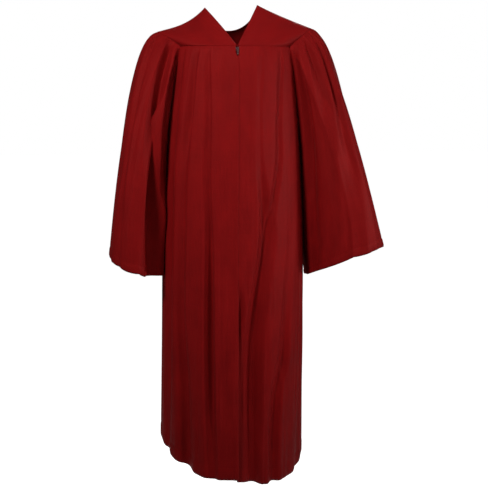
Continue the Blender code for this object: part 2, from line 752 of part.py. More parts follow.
# ---------------------------------------------------------------- assembly
def main():
    for obj in list(bpy.data.objects):
        bpy.data.objects.remove(obj)
    gown = bpy.data.collections.new("graduation_gown")
    helpers = bpy.data.collections.new("helpers")
    for collection in (gown, helpers):
        bpy.context.scene.collection.children.link(collection)
    cloth = new_material("maroon_cloth", (0.20, 0.006, 0.008), 0.6)
    metal = new_material("dark_metal", (0.05, 0.02, 0.02), 0.35, metallic=0.9)

    build_front_yoke("yoke_front_right", -1, cloth, gown)
    build_front_yoke("yoke_front_left", 1, cloth, gown)
    build_back_yoke("yoke_back", cloth, gown)
    build_body(cloth, gown)
    for sleeve in SLEEVES:
        build_sleeve(sleeve, cloth, gown)
    build_zip(cloth, metal, gown, helpers)


main()
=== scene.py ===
# %% [markdown]
# # A graduation gown, as it hangs on its wearer
#
# A gown like this is cut from a few large pieces: a flat yoke over the shoulders, two pleated fronts, a pleated
# back and two bell sleeves gathered into the armholes. Nobody wears it here, so it keeps the hollow shape of the
# body. The solids in the frame hold the cut and the largest folds. This script hangs finer cloth in the same
# place: every piece is a grid of points worked out from level sections of the gown, drawn in along the folds.

# %% Load the frame
import math
from collections import namedtuple

import bpy
import numpy as np
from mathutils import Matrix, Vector


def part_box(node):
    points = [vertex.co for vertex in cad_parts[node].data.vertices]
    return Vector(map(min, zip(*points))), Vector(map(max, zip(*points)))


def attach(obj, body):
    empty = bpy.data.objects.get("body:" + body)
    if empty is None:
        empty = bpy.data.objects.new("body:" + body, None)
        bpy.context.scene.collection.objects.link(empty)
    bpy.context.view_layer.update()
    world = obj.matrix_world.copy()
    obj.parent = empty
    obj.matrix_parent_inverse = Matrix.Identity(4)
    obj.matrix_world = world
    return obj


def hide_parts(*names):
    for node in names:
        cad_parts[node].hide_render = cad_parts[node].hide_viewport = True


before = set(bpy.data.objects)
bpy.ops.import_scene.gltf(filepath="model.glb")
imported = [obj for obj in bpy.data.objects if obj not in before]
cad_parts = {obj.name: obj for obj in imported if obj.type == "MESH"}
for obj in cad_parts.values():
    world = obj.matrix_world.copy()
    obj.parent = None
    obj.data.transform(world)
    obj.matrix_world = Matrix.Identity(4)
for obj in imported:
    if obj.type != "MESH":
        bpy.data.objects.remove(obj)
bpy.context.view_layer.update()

# %% [markdown]
# ## Sizes that every piece shares
#
# Heights are metres below the neck points, the front is towards -Y and the wearer's left towards +X. The hem and
# the side seams are read from the frame where it can say them.

# %% Shared sizes
CLOTH = 0.0011  # thickness of the cloth
SEAM_GAP = 0.0003  # between two sewn pieces
ARMHOLE_TUCK = 0.0025  # how far a sleeve runs in under the edge it is sewn to
NECK_HALF = 0.074
NECK_TILT = 0.004
NECK_LOW = 0.008
BACK_NECK_DROP = 0.070
SHOULDER_OUT = {-1: 0.208, 1: 0.229}
SHOULDER_DROP = {-1: 0.079, 1: 0.067}
SHOULDER_SAG = {-1: 0.027, 1: 0.005}
FRONT_SEAM = -0.120
BACK_SEAM = -0.172
CORNER_ANGLE = 69.0
UNDERARM = -0.405
FRONT_GAP = 0.0002
FRONT_LAP = 0.0040  # how far the wearer's right front lies over the left one
NOTCH_GAP = 0.0046
NOTCH_DEPTH = 0.022
FRONT_CORNER_SHARE = 0.27
BACK_CORNER_SHARE = 0.73
HEM_DEPTH = 0.038  # the turned hem
YOKE_LAP = 0.0025  # how far a body panel runs up under the yoke
CUFF_HEM = 0.025
DENT_REACH = 0.0022  # half the width of the dent along a line of stitches
SLEEVE_LENGTH = 0.62
EDGE_EASE = 0.04  # how far from the meeting edge the fronts are drawn over
SEAM_HOLD = 0.040  # how far below a seam the pleats reach their full depth
ZIP_END = -0.780
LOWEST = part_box("front_left")[0][2]
print(f"neck point to hem {-LOWEST:.3f} m")

# %% [markdown]
# ## Reading a table along a smooth curve
#
# The gown's shape is kept in short tables, one row per level. A smooth curve through the rows gives every level
# between them, the way a pattern cutter runs a curve through a few measured marks.


# %% Smooth curves through tables
def curve(rows, key, column, at):
    keys = np.array([getattr(row, key) for row in rows], float)
    values = np.array([getattr(row, column) for row in rows], float)
    order = np.argsort(keys)
    keys, values = keys[order], values[order]
    at = np.clip(np.asarray(at, float), keys[0], keys[-1])
    i = np.clip(np.searchsorted(keys, at, side="right") - 1, 0, len(keys) - 2)
    slope = np.gradient(values, keys) if len(keys) > 2 else np.full(2, np.diff(values)[0] / np.diff(keys)[0])
    step = keys[i + 1] - keys[i]
    t = (at - keys[i]) / step
    return hermite(values[i], step * slope[i], values[i + 1], step * slope[i + 1], t)


def hermite(start, leave, end, arrive, t):
    return (
        (2 * t**3 - 3 * t**2 + 1) * start
        + (t**3 - 2 * t**2 + t) * leave
        + (-2 * t**3 + 3 * t**2) * end
        + (t**3 - t**2) * arrive
    )


def between(low, high, share):
    return low + (high - low) * share


def smooth_step(low, high, at):
    t = np.clip((at - low) / (high - low), 0, 1)
    return t * t * (3 - 2 * t)


def bezier(points, share):
    points = [Vector(p) for p in points]
    while len(points) > 1:
        points = [a.lerp(b, share) for a, b in zip(points, points[1:])]
    return points[0]


def soft_noise(u, v, seed):
    """Smooth bumps about one unit apart, between -1 and 1, the same on every run."""
    grid = np.random.default_rng(seed).uniform(-1, 1, (128, 128))
    i, j = np.floor(u).astype(int), np.floor(v).astype(int)
    s, t = u - i, v - j
    s, t = s * s * (3 - 2 * s), t * t * (3 - 2 * t)
    a, b = grid[i % 128, j % 128], grid[(i + 1) % 128, j % 128]
    c, d = grid[i % 128, (j + 1) % 128], grid[(i + 1) % 128, (j + 1) % 128]
    return (a * (1 - s) + b * s) * (1 - t) + (c * (1 - s) + d * s) * t


# %% [markdown]
# ## The level sections of the body
#
# Cut level, the gown is a rounded oval that grows from the yoke to the hem. Angles go round it from the centre
# front. A squareness of 2 is an ellipse, and a little more fills the corners as hips and arms do.

# %% Body sections
Section = namedtuple("Section", "height half_width front back shift meeting squareness")
BODY = [
    Section(-0.06, 0.158, 0.075, 0.078, 0.006, 0.005, 2.30),
    Section(-0.12, 0.167, 0.116, 0.100, 0.006, 0.005, 2.30),
    Section(-0.25, 0.181, 0.144, 0.124, 0.005, 0.004, 2.25),
    Section(-0.40, 0.194, 0.158, 0.135, 0.004, 0.002, 2.25),
    Section(-0.65, 0.206, 0.166, 0.146, 0.005, 0.000, 2.20),
    Section(-0.95, 0.212, 0.172, 0.162, 0.004, 0.000, 2.20),
    Section(-1.38, 0.219, 0.180, 0.186, 0.000, 0.000, 2.00),
]


def body_ring(angle, height):
    """Points and outward directions on the unfolded body, as arrays whose last axis is x, y, z."""
    angle, height = np.broadcast_arrays(np.asarray(angle, float), np.asarray(height, float))
    half, front, back, shift, meeting, power = (
        curve(BODY, "height", column, height) for column in Section._fields[1:]
    )
    across, along = np.sin(np.radians(angle)), -np.cos(np.radians(angle))
    depth = np.where(along < 0, front, back)
    reach = ((np.abs(across) / half) ** power + (np.abs(along) / depth) ** power) ** (-1 / power)
    x, y = across * reach, along * reach
    nx = np.sign(x) * np.abs(x) ** (power - 1) / half**power
    ny = np.sign(y) * np.abs(y) ** (power - 1) / depth**power
    size = np.hypot(nx, ny)
    x = x + shift + (meeting - shift) * np.maximum(-along, 0) ** 4
    return np.stack([x, y, height], -1), np.stack([nx / size, ny / size, 0 * height], -1)


# %% [markdown]
# ## Folds
#
# A fold here is a trough that runs down the cloth. Each of its stations says where it is, how deep it is and how
# far it reaches to either side. A pressed pleat has a short reach on one side, which makes the sharp line, and a
# long one on the other. Every fold drifts and changes on its way down, and no two are alike.

# %% Fold stations
Station = namedtuple("Station", "height angle depth to_left to_right")  # to the wearer's left and right, degrees


def rows_of(kind, *rows):
    return [kind(*row) for row in rows]


FRONT_RIGHT_FOLDS = {
    "panel edge": rows_of(
        Station,
        (-0.12, -34.0, 0.004, 2.4, 8),
        (-0.3, -28.2, 0.005, 2.4, 8),
        (-0.5, -27.2, 0.007, 2.6, 8),
        (-0.62, -25.6, 0.011, 2.8, 8),
        (-0.75, -24.6, 0.02, 3, 9),
        (-0.95, -24.0, 0.024, 3.2, 10),
        (-1.12, -23.2, 0.021, 3.6, 10),
        (-1.22, -23.4, 0.012, 5, 9),
        (-1.39, -22.0, 0.005, 7, 8),
    ),
    "second pleat": rows_of(
        Station,
        (-0.12, -45.5, 0.004, 2.4, 7),
        (-0.2, -46.8, 0.008, 2.8, 8),
        (-0.31, -47.6, 0.014, 3.2, 9),
        (-0.38, -49.0, 0.011, 3.6, 9),
        (-0.46, -51.0, 0.007, 5, 9),
        (-0.6, -52.5, 0.01, 5.5, 9),
        (-0.85, -53.5, 0.013, 6, 9),
        (-1.05, -50.5, 0.019, 7, 9),
        (-1.25, -48.8, 0.02, 8, 10),
        (-1.39, -48.0, 0.014, 9, 11),
    ),
    "side pleat": rows_of(
        Station,
        (-0.14, -62.0, 0.003, 3, 6),
        (-0.45, -66.0, 0.006, 6, 7),
        (-0.8, -70.0, 0.012, 7, 7),
        (-1.15, -71.0, 0.011, 8, 8),
        (-1.39, -72.0, 0.005, 8, 8),
    ),
}
FRONT_LEFT_FOLDS = {
    "under the lap": rows_of(
        Station,
        (-0.782, 3, 0, 4, 3),
        (-0.83, 2.8, 0.008, 6, 3),
        (-0.92, 1, 0.012, 10, 3),
        (-1.1, 0, 0.013, 12, 3),
        (-1.39, 0, 0.011, 12, 3),
    ),
    "panel edge": rows_of(
        Station,
        (-0.12, 30.0, 0.002, 3, 6),
        (-0.3, 22.8, 0.0025, 3, 6),
        (-0.44, 22.5, 0.004, 4, 6),
        (-0.53, 24.6, 0.012, 8, 6),
        (-0.63, 26.0, 0.019, 13, 7),
        (-0.75, 22.2, 0.024, 12, 8),
        (-0.84, 19.6, 0.029, 10, 12),
        (-0.93, 18.6, 0.034, 9, 18),
        (-1.08, 17.6, 0.037, 8, 20),
        (-1.2, 17.4, 0.034, 8, 20),
        (-1.39, 17.0, 0.026, 8, 18),
    ),
    "second pleat": rows_of(
        Station,
        (-0.12, 54.0, 0.005, 2.6, 7),
        (-0.22, 48.5, 0.0065, 2.8, 7),
        (-0.32, 43.4, 0.009, 3.4, 6),
        (-0.43, 42.0, 0.01, 3.6, 7),
        (-0.53, 36.0, 0.011, 4, 6),
        (-0.62, 31.0, 0.008, 4, 5),
        (-0.7, 27.0, 0, 4, 5),
    ),
    "outer ridge": rows_of(
        Station,
        (-0.56, 55.0, 0, 8, 6),
        (-0.8, 49.0, 0.006, 7, 7),
        (-0.92, 47.0, 0.011, 6, 9),
        (-1, 45.5, 0.015, 6, 10),
        (-1.09, 39.5, 0.017, 6, 10),
        (-1.18, 36.8, 0.018, 6, 9),
        (-1.39, 36.0, 0.015, 7, 8),
    ),
    "side pleat": rows_of(
        Station,
        (-0.14, 68.0, 0.003, 6, 3),
        (-0.4, 72.0, 0.005, 8, 6),
        (-0.8, 73.0, 0.006, 8, 8),
        (-1.39, 66.0, 0.009, 8, 8),
    ),
}


def simple_fold(angles, depths, reach):
    """Stations at the yoke, the knee and the hem of a fold on the back."""
    heights = (BACK_SEAM, -0.75, -1.39)
    return [Station(h, a, d, r, 17 - r) for h, a, d, r in zip(heights, angles, depths, reach)]


BACK_FOLDS = {
    "side left": simple_fold((103, 102, 101), (0.003, 0.011, 0.018), (7, 8, 8)),
    "second left": simple_fold((121, 124, 126), (0.007, 0.013, 0.021), (6, 8, 9)),
    "third left": simple_fold((139, 143, 147), (0.007, 0.014, 0.021), (6, 7, 8)),
    "centre left": simple_fold((157, 160, 167), (0.008, 0.015, 0.023), (5, 7, 9)),
    "centre": simple_fold((178, 181, 187), (0.007, 0.013, 0.020), (8, 8, 8)),
    "centre right": simple_fold((199, 201, 206), (0.008, 0.015, 0.023), (11, 9, 8)),
    "third right": simple_fold((218, 221, 225), (0.007, 0.013, 0.021), (11, 9, 8)),
    "second right": simple_fold((236, 239, 243), (0.007, 0.013, 0.020), (10, 9, 8)),
    "side right": simple_fold((256, 258, 260), (0.003, 0.011, 0.016), (9, 8, 9)),
}


def trough(folds, place, level, key, where, more, less):
    """How far the folds draw the cloth in. more and less name the columns of reach to either side."""
    total = np.zeros(np.broadcast(place, level).shape)
    for stations in folds.values():
        off = place - curve(stations, key, where, level)
        reach = np.where(off > 0, curve(stations, key, more, level), curve(stations, key, less, level))
        depth = curve(stations, key, "depth", level)
        total += depth * 0.5 * (1 + np.cos(np.pi * np.clip(np.abs(off) / reach, 0, 1)))
    return total


# %% [markdown]
# ## Where each panel starts and ends
#
# A body panel starts at the yoke seam, then follows the armhole down to the underarm. It ends at the hem, which
# hangs lowest at the left front and rises to the sides.

# %% Panel edges
HemPoint = namedtuple("HemPoint", "angle rise")
HEM = {
    "front_right": rows_of(HemPoint, (-90, 0.104), (-60, 0.064), (-32, 0.030), (0, 0.024)),
    "front_left": rows_of(HemPoint, (0, 0.013), (14, 0.006), (32, 0), (48, 0.003), (68, 0.014), (90, 0.050)),
    "back": rows_of(HemPoint, (90, 0.050), (135, 0.028), (180, 0.020), (225, 0.046), (270, 0.104)),
}
Panel = namedtuple("Panel", "name start end seam folds columns ripple")
PANELS = {
    "front_right": Panel("front_right", -90, 0, FRONT_SEAM, FRONT_RIGHT_FOLDS, 190, 0.6),
    "front_left": Panel("front_left", 0, 90, FRONT_SEAM, FRONT_LEFT_FOLDS, 190, 0.6),
    "back": Panel("back", 90, 270, BACK_SEAM, BACK_FOLDS, 280, 1.0),
}
PANEL_ROWS = 170


def from_centre(angle):
    angle = np.abs(angle) % 360
    angle = np.where(angle > 180, 360 - angle, angle)
    return np.where(angle <= 90, angle, 180 - angle)


def top_height(panel, angle):
    down = np.clip((from_centre(angle) - CORNER_ANGLE) / (90 - CORNER_ANGLE), 0, 1)
    return between(panel.seam, UNDERARM, np.sin(down * np.pi / 2))


def panel_point(panel, angle, height):
    """A point on the folded panel: the section, drawn in by the folds, the seams and small waves of the cloth."""
    point, normal = body_ring(angle, height)
    depth = trough(panel.folds, angle, height, "height", "angle", "to_left", "to_right")
    depth = depth * between(0.10, 1.0, smooth_step(0.0, SEAM_HOLD, top_height(panel, angle) - height))
    fallen = 1 - smooth_step(panel.seam - 1.2, panel.seam, height)
    to_side = np.clip(from_side_seam(angle) / 6, 0, 1)
    wave = soft_noise(angle / 5.2 + 40, height / 0.33 + 9, 3) * between(0.0006, 0.0034, fallen)
    wave += soft_noise(angle / 2.3 + 70, height / 0.16 + 5, 7) * between(0.0005, 0.0017, fallen)
    depth = depth + (wave + between(0.0006, 0.0030, fallen)) * panel.ripple * to_side
    tuck = np.exp(-(np.maximum(top_height(panel, angle) - height, 0) / 0.0050) ** 2)
    depth = depth + 0.0013 * tuck
    return point - normal * depth[..., None]


def from_side_seam(angle):
    """Degrees from the nearer side seam."""
    return np.abs(90 - np.abs((np.asarray(angle, float) + 180) % 360 - 180))


# %% [markdown]
# ## Seam lines
#
# The yoke, the panels and the sleeves share their seam lines, so each line is a function of its own: the shoulder
# seams, the V of the neck and the two armholes.


# %% Seam lines
def neck_point(side):
    return Vector((side * NECK_HALF, 0, side * NECK_TILT - NECK_LOW))


def shoulder_end(side):
    return Vector((side * SHOULDER_OUT[side], 0, -SHOULDER_DROP[side]))


def ring_point(angle, height):
    return Vector(body_ring(angle, height)[0])


def shoulder_line(side, share):
    neck, end, sag = neck_point(side), shoulder_end(side), SHOULDER_SAG[side]
    dip = neck.lerp(end, 0.36) - Vector((0, 0, sag))
    low = neck.lerp(end, 0.70) - Vector((0, 0, sag * 0.3))
    return bezier([neck, dip, low, end], share)


def v_line(side, share):
    bottom = ring_point(0, FRONT_SEAM) + Vector((side * FRONT_GAP, 0, 0))
    middle = neck_point(side).lerp(bottom, 0.5) + Vector((0, -0.020, 0.002))
    return bezier([neck_point(side), middle, bottom], share)


def armhole(side, share):
    """From the shoulder end down the front, under the arm and up the back."""
    if share <= FRONT_CORNER_SHARE:
        start, end = shoulder_end(side), ring_point(side * CORNER_ANGLE, FRONT_SEAM)
        bow = start.lerp(end, 0.5) + Vector((side * 0.010, -0.012, 0.010))
        return bezier([start, bow, end], share / FRONT_CORNER_SHARE)
    if share >= BACK_CORNER_SHARE:
        start, end = ring_point(180 - side * CORNER_ANGLE, BACK_SEAM), shoulder_end(side)
        bow = start.lerp(end, 0.5) + Vector((side * 0.012, 0.014, 0.014))
        return bezier([start, bow, end], (share - BACK_CORNER_SHARE) / (1 - BACK_CORNER_SHARE))
    if share <= 0.5:
        down = (share - FRONT_CORNER_SHARE) / (0.5 - FRONT_CORNER_SHARE)
        panel = PANELS["front_left" if side > 0 else "front_right"]
        angle = side * between(CORNER_ANGLE, 90, down)
    else:
        down = (BACK_CORNER_SHARE - share) / (BACK_CORNER_SHARE - 0.5)
        panel = PANELS["back"]
        angle = 180 - side * between(CORNER_ANGLE, 90, down)
    return Vector(panel_point(panel, np.array(angle), top_height(panel, np.array(angle))))


# %% [markdown]
# ## From a grid of points to cloth
#
# Each piece is one sheet of four-sided faces. It carries a map of its own surface in metres, measured along the
# cloth, so the weave lies along the grain wherever a piece turns. Solidify gives the sheet its thickness.


# %% Grid to cloth
def show(name, data):
    obj = bpy.data.objects.new(name, data)
    bpy.context.scene.collection.objects.link(obj)
    return obj


def cloth_sheet(name, rows, closed=False, flip=False):
    rows = np.asarray(rows, float)
    if flip:
        rows = rows[:, ::-1]
    count, width = rows.shape[:2]
    ring = np.concatenate([rows, rows[:, :1]], 1) if closed else rows
    across = np.linalg.norm(np.diff(ring[count // 2], axis=0), axis=1).cumsum()
    across = np.concatenate([[0], across])
    along = np.linalg.norm(np.diff(rows, axis=0), axis=2).mean(1).cumsum()
    along = np.concatenate([[0], along])
    index = np.arange(count * width).reshape(count, width)
    if closed:
        index = np.concatenate([index, index[:, :1]], 1)
    a, b, c, d = index[:-1, :-1], index[1:, :-1], index[1:, 1:], index[:-1, 1:]
    faces = np.stack([a, b, c, d], -1).reshape(-1, 4)
    mesh = bpy.data.meshes.new(name)
    mesh.from_pydata(rows.reshape(-1, 3).tolist(), [], faces.tolist())
    r, i = np.meshgrid(np.arange(count - 1), np.arange(index.shape[1] - 1), indexing="ij")
    u = np.stack([across[i], across[i], across[i + 1], across[i + 1]], -1)
    v = -np.stack([along[r], along[r + 1], along[r + 1], along[r]], -1)
    layer = mesh.uv_layers.new(name="cloth")
    layer.data.foreach_set("uv", np.stack([u, v], -1).ravel())
    mesh.shade_smooth()
    obj = show(name, mesh)
    print(name, len(faces), "faces,", f"{across[-1]:.3f} m across, {along[-1]:.3f} m along")
    return obj


def give_thickness(obj, thickness=CLOTH):
    wall = obj.modifiers.new("cloth thickness", "SOLIDIFY")
    wall.thickness = thickness
    wall.offset = -1
    wall.use_even_offset = False


# %% [markdown]
# ## The fronts and the back
#
# Both fronts meet over the zip, so their edges roll in slightly. They part for the slider at the top and hang
# free below the zip, where the wearer's right front lies over the left. The hem is turned up inside, which leaves
# a faint dent along its stitching and a fuller edge.


# %% Body panels
def edge_gap(height):
    down = (FRONT_SEAM - height) / NOTCH_DEPTH
    return between(FRONT_GAP, NOTCH_GAP, 1 - smooth_step(0.7, 1.6, down))


def panel_rows(panel):
    angles = np.linspace(panel.start, panel.end, panel.columns)
    top = top_height(panel, angles) + YOKE_LAP
    low = LOWEST + curve(HEM[panel.name], "angle", "rise", angles)
    shares = np.linspace(0, 1, PANEL_ROWS)[:, None] ** 1.08
    heights = between(top, low, shares)
    points = panel_point(panel, np.broadcast_to(angles, heights.shape), heights)
    normals = body_ring(angles, heights)[1]
    above_hem = heights - low
    band = 0.0009 * (1 - smooth_step(HEM_DEPTH - 0.003, HEM_DEPTH, above_hem))
    band -= 0.0010 * np.exp(-((above_hem - HEM_DEPTH) / DENT_REACH) ** 2)
    band -= 0.0018 * np.exp(-(above_hem / DENT_REACH) ** 2)
    points = points + normals * band[..., None]
    if panel.start == 0 or panel.end == 0:
        part_at_centre(points, heights, 1 if panel.start == 0 else -1)
    return points


def part_at_centre(points, heights, side):
    """Moves a front to its meeting edge. The wearer's right front laps over, a cloth's thickness ahead."""
    edge_heights = heights[:, 0 if side > 0 else -1]
    middle = body_ring(0, edge_heights)[0][:, 0]
    parted = edge_gap(edge_heights)[:, None]
    closed = (NOTCH_GAP - parted) / (NOTCH_GAP - FRONT_GAP)
    lapping = smooth_step(0.65, 1.0, closed)
    edge = parted - FRONT_LAP * lapping if side < 0 else parted
    off = side * (points[..., 0] - middle[:, None])
    off = np.where(off < EDGE_EASE, np.maximum(edge + off * (1 - edge / EDGE_EASE), edge), off)
    points[..., 0] = middle[:, None] + side * off
    if side < 0:
        points[..., 1] -= (CLOTH + 0.0005) * lapping * (1 - smooth_step(0.002, 0.022, off))
    points[..., 1] += 0.0004 * np.exp(-((off - edge) / 0.0016) ** 2)


grids = {name: panel_rows(panel) for name, panel in PANELS.items()}
panels = {name: cloth_sheet(name + "_cloth", grids[name]) for name in PANELS}

# %% [markdown]
# ## The yoke
#
# The yoke is flat doubled cloth, so it shows hardly any folds. Each part is spanned evenly between its four seam
# lines, and dips a little where it lies over the collar bones. Its lower edge is pressed and sewn over the pleats.

# %% Yoke pieces
YOKE_ROWS = 48


def spanned(top, bottom, first, last, columns, count):
    """Rows of points spanned evenly between four edge lines, each a function of a share."""
    downs, outs = np.linspace(0, 1, count), np.linspace(0, 1, columns)
    t, b = (np.array([edge(s) for s in outs]) for edge in (top, bottom))
    f, l = (np.array([edge(s) for s in downs]) for edge in (first, last))
    down, out = downs[:, None, None], outs[None, :, None]
    corners = between(between(t[0], t[-1], out), between(b[0], b[-1], out), down)
    return between(t[None], b[None], down) + between(f[:, None], l[:, None], out) - corners


def front_yoke_rows(side):
    def seam(out):
        point, near = ring_point(side * CORNER_ANGLE * out, FRONT_SEAM), v_line(side, 1)
        point.x = between(near.x, point.x, out) if out < 0.15 else point.x
        return point

    rows = spanned(
        lambda out: shoulder_line(side, out),
        seam,
        lambda down: v_line(side, down),
        lambda down: armhole(side, FRONT_CORNER_SHARE * down),
        70,
        YOKE_ROWS,
    )
    rows[..., 1] -= SEAM_GAP
    return soften(rows, 11 + side)


def soften(rows, seed):
    """Faint waves inside a yoke piece, and a rolled edge all round it."""
    count, width = rows.shape[:2]
    down, out = np.meshgrid(np.linspace(0, 1, count), np.linspace(0, 1, width), indexing="ij")
    inside = 16 * down * (1 - down) * out * (1 - out)
    wave = soft_noise(out * 3.5 + 20, down * 2.2 + 30, seed) * 0.0016 * inside
    edge = np.minimum(np.minimum(down, 1 - down) * 0.12, np.minimum(out, 1 - out) * 0.16)
    roll = -0.0008 * np.exp(-(edge / 0.0030) ** 2)
    normal = np.cross(np.gradient(rows, axis=0), np.gradient(rows, axis=1))
    normal /= np.linalg.norm(normal, axis=2, keepdims=True)
    normal *= np.sign((normal * [0, -1 if rows[..., 1].mean() < 0 else 1, 0.5]).sum(2).mean())
    return rows + normal * (wave + roll)[..., None]


def back_top_line(share):
    neck_share = 0.32
    if share < neck_share:
        return shoulder_line(1, 1 - share / neck_share)
    if share > 1 - neck_share:
        return shoulder_line(-1, (share - 1 + neck_share) / neck_share)
    across = (share - neck_share) / (1 - 2 * neck_share)
    reach, low = NECK_HALF * 0.8, -BACK_NECK_DROP * 1.33
    points = [neck_point(1), Vector((reach, 0.070, low)), Vector((-reach, 0.070, low)), neck_point(-1)]
    return bezier(points, across)


def back_yoke_rows():
    rows = spanned(
        back_top_line,
        lambda out: ring_point(180 + between(-CORNER_ANGLE, CORNER_ANGLE, out), BACK_SEAM),
        lambda down: armhole(1, 1 - (1 - BACK_CORNER_SHARE) * down),
        lambda down: armhole(-1, 1 - (1 - BACK_CORNER_SHARE) * down),
        151,
        YOKE_ROWS,
    )
    rows[..., 1] += SEAM_GAP
    return soften(rows, 15)


YOKES = ("yoke_front_right", "yoke_front_left", "yoke_back")
grids.update(zip(YOKES, (front_yoke_rows(-1), front_yoke_rows(1), back_yoke_rows())))
yokes = {name: cloth_sheet(name + "_cloth", grids[name], flip=name == YOKES[0]) for name in YOKES}

# %% [markdown]
# ## The sleeves
#
# A bell sleeve is a wide tube. Its head is gathered into the armhole, so it springs out over the shoulder and
# then falls. Each line of the sleeve leaves the armhole in its own direction and arrives at the cuff hanging
# down. Folds are placed by their share of the way round: 0 is the outer line, 0.25 the front, 0.5 the underarm.

# %% Sleeve tables
Leave = namedtuple("Leave", "share out forward down")
LEAVES = rows_of(
    Leave,
    (0, 0.28, 0, 0.02),
    (0.14, 0.24, 0.12, 0.1),
    (0.27, 0.15, 0.15, 0.18),
    (0.4, 0.09, 0.08, 0.22),
    (0.5, 0.07, 0, 0.24),
    (0.6, 0.11, -0.08, 0.22),
    (0.73, 0.16, -0.14, 0.18),
    (0.86, 0.24, -0.1, 0.1),
    (1, 0.28, 0, 0.02),
)
Hang = namedtuple("Hang", "down share depth to_under to_outer")


def sleeve_back_folds(inner_end, back_end):
    """The three folds behind the arm. The two shares say where the first two of them reach the cuff."""
    return {
        "inner back": rows_of(
            Hang, (0, 0.64, 0.004, 0.05, 0.05), (0.30, 0.64, 0.011, 0.06, 0.06), (1, inner_end, 0.017, 0.07, 0.07)
        ),
        "back": rows_of(
            Hang, (0, 0.78, 0.005, 0.04, 0.04), (0.20, 0.79, 0.012, 0.05, 0.05), (1, back_end, 0.011, 0.06, 0.06)
        ),
        "outer back": rows_of(
            Hang, (0, 0.90, 0.005, 0.04, 0.04), (0.20, 0.90, 0.010, 0.05, 0.05), (1, 0.90, 0.007, 0.06, 0.06)
        ),
    }


RIGHT_SLEEVE_FOLDS = {
    "front of the arm": rows_of(
        Hang,
        (0, 0.2, 0.004, 0.03, 0.035),
        (0.08, 0.21, 0.015, 0.035, 0.038),
        (0.165, 0.22, 0.023, 0.04, 0.042),
        (0.29, 0.234, 0.029, 0.045, 0.05),
        (0.435, 0.262, 0.04, 0.065, 0.06),
        (0.55, 0.295, 0.046, 0.085, 0.072),
        (0.7, 0.335, 0.048, 0.1, 0.078),
        (0.85, 0.355, 0.042, 0.105, 0.082),
        (1, 0.365, 0.03, 0.1, 0.085),
    ),
    "armhole corner": rows_of(
        Hang,
        (0, 0.265, 0.004, 0.025, 0.025),
        (0.09, 0.285, 0.016, 0.036, 0.03),
        (0.18, 0.312, 0.019, 0.045, 0.036),
        (0.3, 0.345, 0.016, 0.05, 0.042),
        (0.44, 0.378, 0.008, 0.055, 0.046),
        (0.6, 0.4, 0, 0.06, 0.05),
    ),
    "outer line": rows_of(
        Hang,
        (0, 0.02, 0.003, 0.025, 0.025),
        (0.1, 0.06, 0.01, 0.03, 0.035),
        (0.35, 0.1, 0.01, 0.035, 0.04),
        (0.6, 0.13, 0.008, 0.035, 0.045),
        (1, 0.15, 0.006, 0.035, 0.05),
    ),
    **sleeve_back_folds(0.64, 0.78),
}
LEFT_SLEEVE_FOLDS = {
    "outer line": rows_of(
        Hang,
        (0, 0.05, 0.003, 0.028, 0.03),
        (0.12, 0.075, 0.011, 0.032, 0.036),
        (0.24, 0.108, 0.017, 0.038, 0.04),
        (0.36, 0.148, 0.018, 0.04, 0.045),
        (0.5, 0.192, 0.013, 0.042, 0.05),
        (0.66, 0.23, 0.008, 0.044, 0.055),
        (0.82, 0.255, 0.005, 0.048, 0.058),
        (1, 0.27, 0.003, 0.05, 0.06),
    ),
    "head front": rows_of(
        Hang,
        (0, 0.145, 0.005, 0.025, 0.025),
        (0.1, 0.168, 0.013, 0.032, 0.032),
        (0.2, 0.194, 0.016, 0.036, 0.036),
        (0.32, 0.224, 0.011, 0.04, 0.04),
        (0.46, 0.256, 0.005, 0.042, 0.045),
        (0.62, 0.29, 0, 0.042, 0.05),
    ),
    "armhole front": rows_of(
        Hang,
        (0, 0.24, 0.005, 0.03, 0.03),
        (0.08, 0.268, 0.013, 0.04, 0.038),
        (0.18, 0.305, 0.019, 0.052, 0.046),
        (0.3, 0.342, 0.022, 0.062, 0.055),
        (0.45, 0.378, 0.02, 0.075, 0.06),
        (0.62, 0.405, 0.015, 0.08, 0.065),
        (1, 0.44, 0.01, 0.08, 0.07),
    ),
    **sleeve_back_folds(0.65, 0.79),
}
Sleeve = namedtuple(
    "Sleeve",
    "name side cuff_x cuff_y cuff_z half_width half_front half_back rise tip flare puff square inner lean folds seed",
)
SLEEVES = [
    Sleeve(
        name="sleeve_right", side=-1, cuff_x=-0.2700, cuff_y=-0.012, cuff_z=-0.737, half_width=0.0870,
        half_front=0.138, half_back=0.120, rise=0.033, tip=0.002, flare=0.12, puff=0.94, square=0.62, inner=1.35,
        lean=0.016,
        folds=RIGHT_SLEEVE_FOLDS, seed=21,
    ),
    Sleeve(
        name="sleeve_left", side=1, cuff_x=0.333, cuff_y=-0.020, cuff_z=-0.738, half_width=0.110,
        half_front=0.130, half_back=0.115, rise=0.043, tip=-0.034, flare=0.36, puff=0.94, square=0.66, inner=1.15,
        lean=0.016,
        folds=LEFT_SLEEVE_FOLDS, seed=22,
    ),
]
SLEEVE_COLUMNS = 260
SLEEVE_ROWS = 130

# %% [markdown]
# ## Hanging a sleeve
#
# The gathers at the head are short radiating folds that die out within a hand's width. They are waves round the
# armhole whose height fades down the sleeve, uneven in height so that they don't look machined.


# %% Sleeve shapes
def cuff_line(sleeve, share):
    turn = 2 * np.pi * share
    out, front = np.cos(turn), np.sin(turn)
    half_depth = np.where(front > 0, sleeve.half_front, sleeve.half_back)
    power = np.where((out < 0) & (front > 0), sleeve.inner, sleeve.square)
    return np.stack(
        [
            sleeve.cuff_x + sleeve.side * sleeve.half_width * np.sign(out) * np.abs(out) ** power,
            sleeve.cuff_y - half_depth * np.sign(front) * np.abs(front) ** power,
            sleeve.cuff_z + sleeve.rise * out - sleeve.tip * front,
        ],
        -1,
    )


